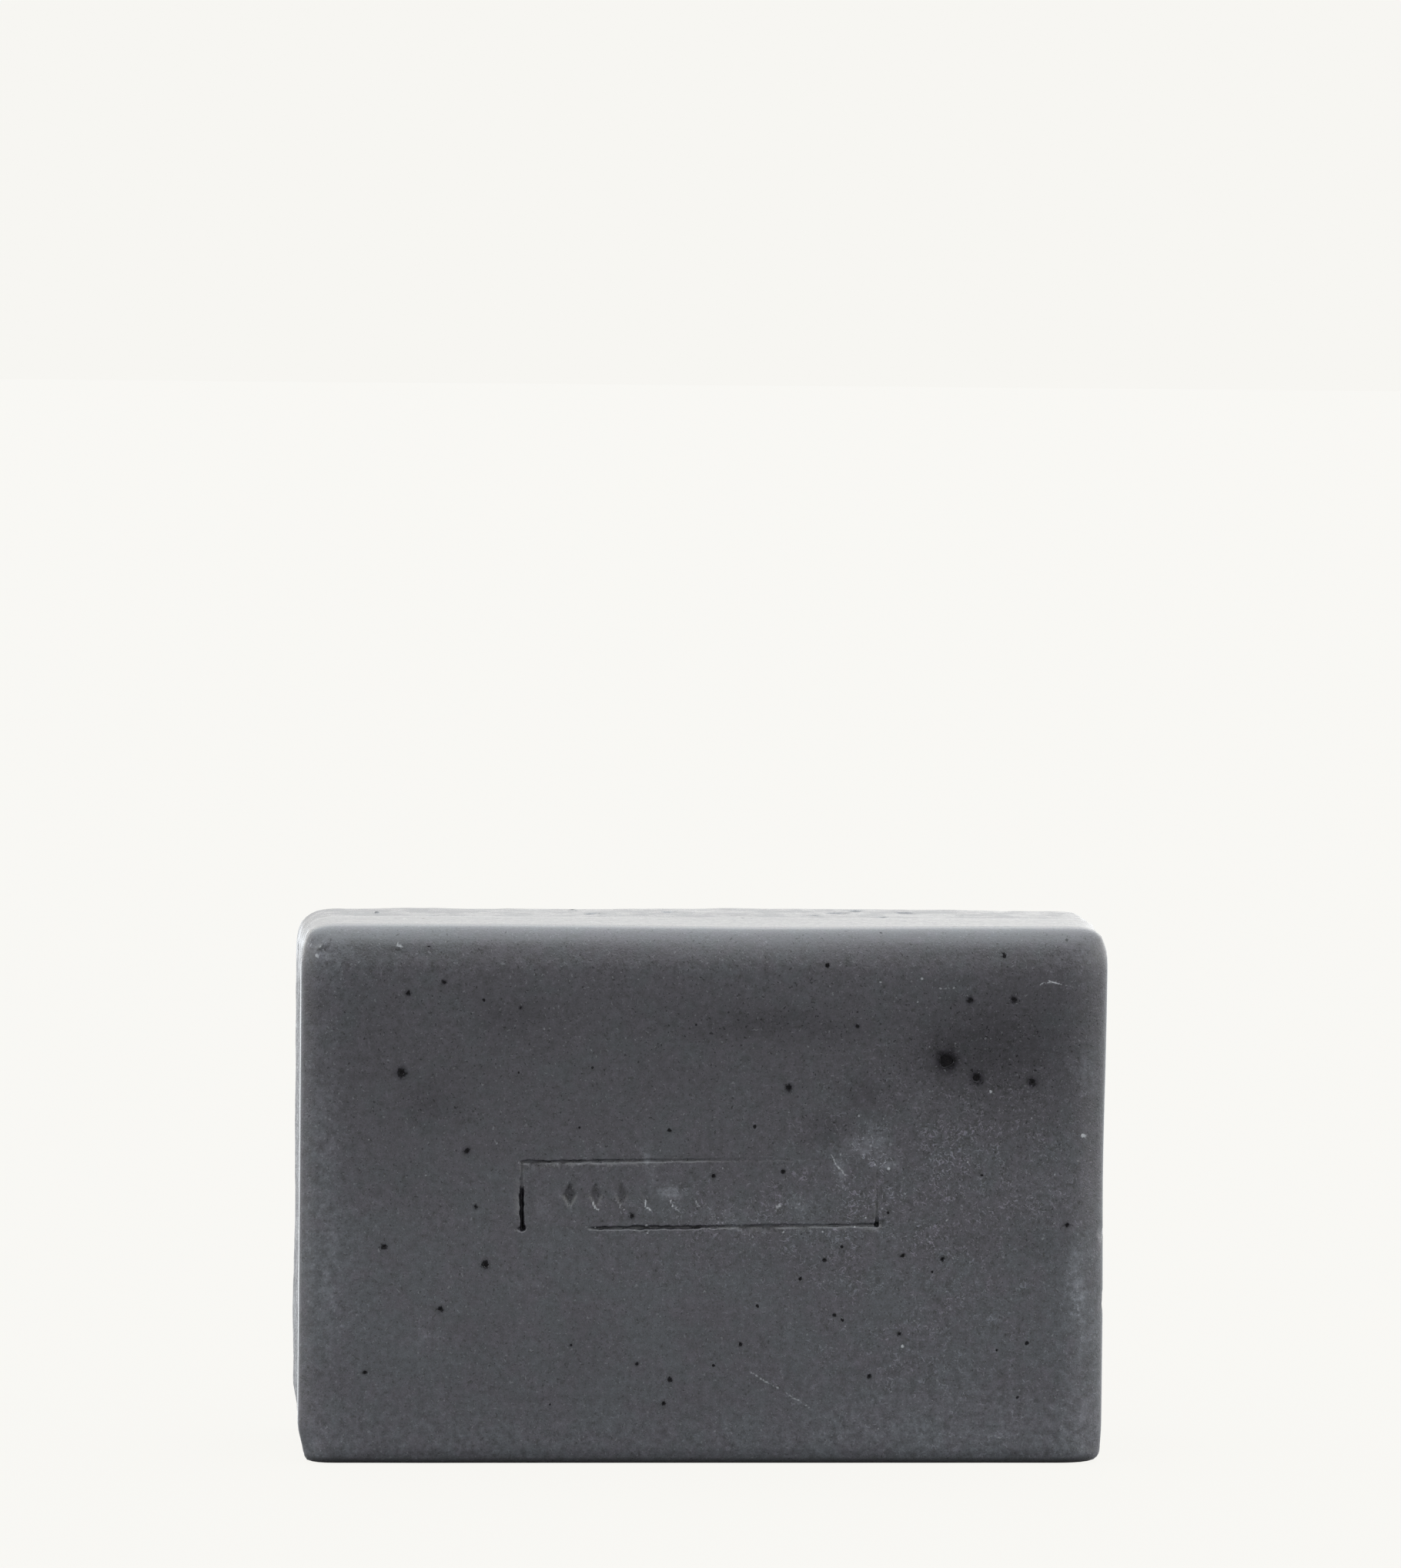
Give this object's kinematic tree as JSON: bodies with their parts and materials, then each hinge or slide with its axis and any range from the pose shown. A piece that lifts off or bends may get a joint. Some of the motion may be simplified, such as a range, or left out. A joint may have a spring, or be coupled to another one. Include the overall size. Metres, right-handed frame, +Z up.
{
  "type": "charcoal soap bar",
  "caption": "Rectangular moulded bar of dark grey charcoal soap with rounded edges, a shallow stamped border of lozenges and set-in charcoal grains.",
  "frame": {"origin": "centre of the underside, which is the long narrow side that the bar stands on", "axes": "+X along the bar's length, the stamped front face looks along -Y, +Z up"},
  "size_m": [0.09, 0.03, 0.06],
  "materials": {
    "charcoal_soap": "waxy satin with a fine pale bloom",
    "charcoal": "matt black, broken grain"
  },
  "bodies": {
    "root": {"bar_body": "charcoal_soap", "front_grain_01": "charcoal", "front_grain_02": "charcoal", "front_grain_03": "charcoal", "front_grain_04": "charcoal", "front_grain_05": "charcoal", "front_grain_06": "charcoal", "front_grain_07": "charcoal", "front_grain_08": "charcoal", "front_grain_09": "charcoal", "front_grain_10": "charcoal", "front_grain_11": "charcoal", "front_grain_12": "charcoal", "front_grain_13": "charcoal", "front_grain_14": "charcoal", "front_grain_15": "charcoal", "front_grain_16": "charcoal", "front_grain_17": "charcoal", "front_grain_18": "charcoal", "front_grain_19": "charcoal", "front_grain_20": "charcoal", "front_grain_21": "charcoal", "front_grain_22": "charcoal", "front_grain_23": "charcoal", "front_grain_24": "charcoal", "front_grain_25": "charcoal", "front_grain_26": "charcoal", "front_grain_27": "charcoal", "front_grain_28": "charcoal", "front_grain_29": "charcoal", "front_grain_30": "charcoal", "front_grain_31": "charcoal", "front_grain_32": "charcoal", "front_grain_33": "charcoal", "back_grain_01": "charcoal", "back_grain_02": "charcoal", "back_grain_03": "charcoal", "back_grain_04": "charcoal", "back_grain_05": "charcoal", "back_grain_06": "charcoal", "back_grain_07": "charcoal", "back_grain_08": "charcoal", "back_grain_09": "charcoal", "back_grain_10": "charcoal", "back_grain_11": "charcoal", "back_grain_12": "charcoal", "left_grain_01": "charcoal", "left_grain_02": "charcoal", "left_grain_03": "charcoal", "right_grain_01": "charcoal", "right_grain_02": "charcoal", "right_grain_03": "charcoal", "top_grain_01": "charcoal", "top_grain_02": "charcoal", "top_grain_03": "charcoal", "top_grain_04": "charcoal", "top_grain_05": "charcoal", "underside_grain_01": "charcoal", "underside_grain_02": "charcoal", "underside_grain_03": "charcoal"}
  },
  "joints": []
}
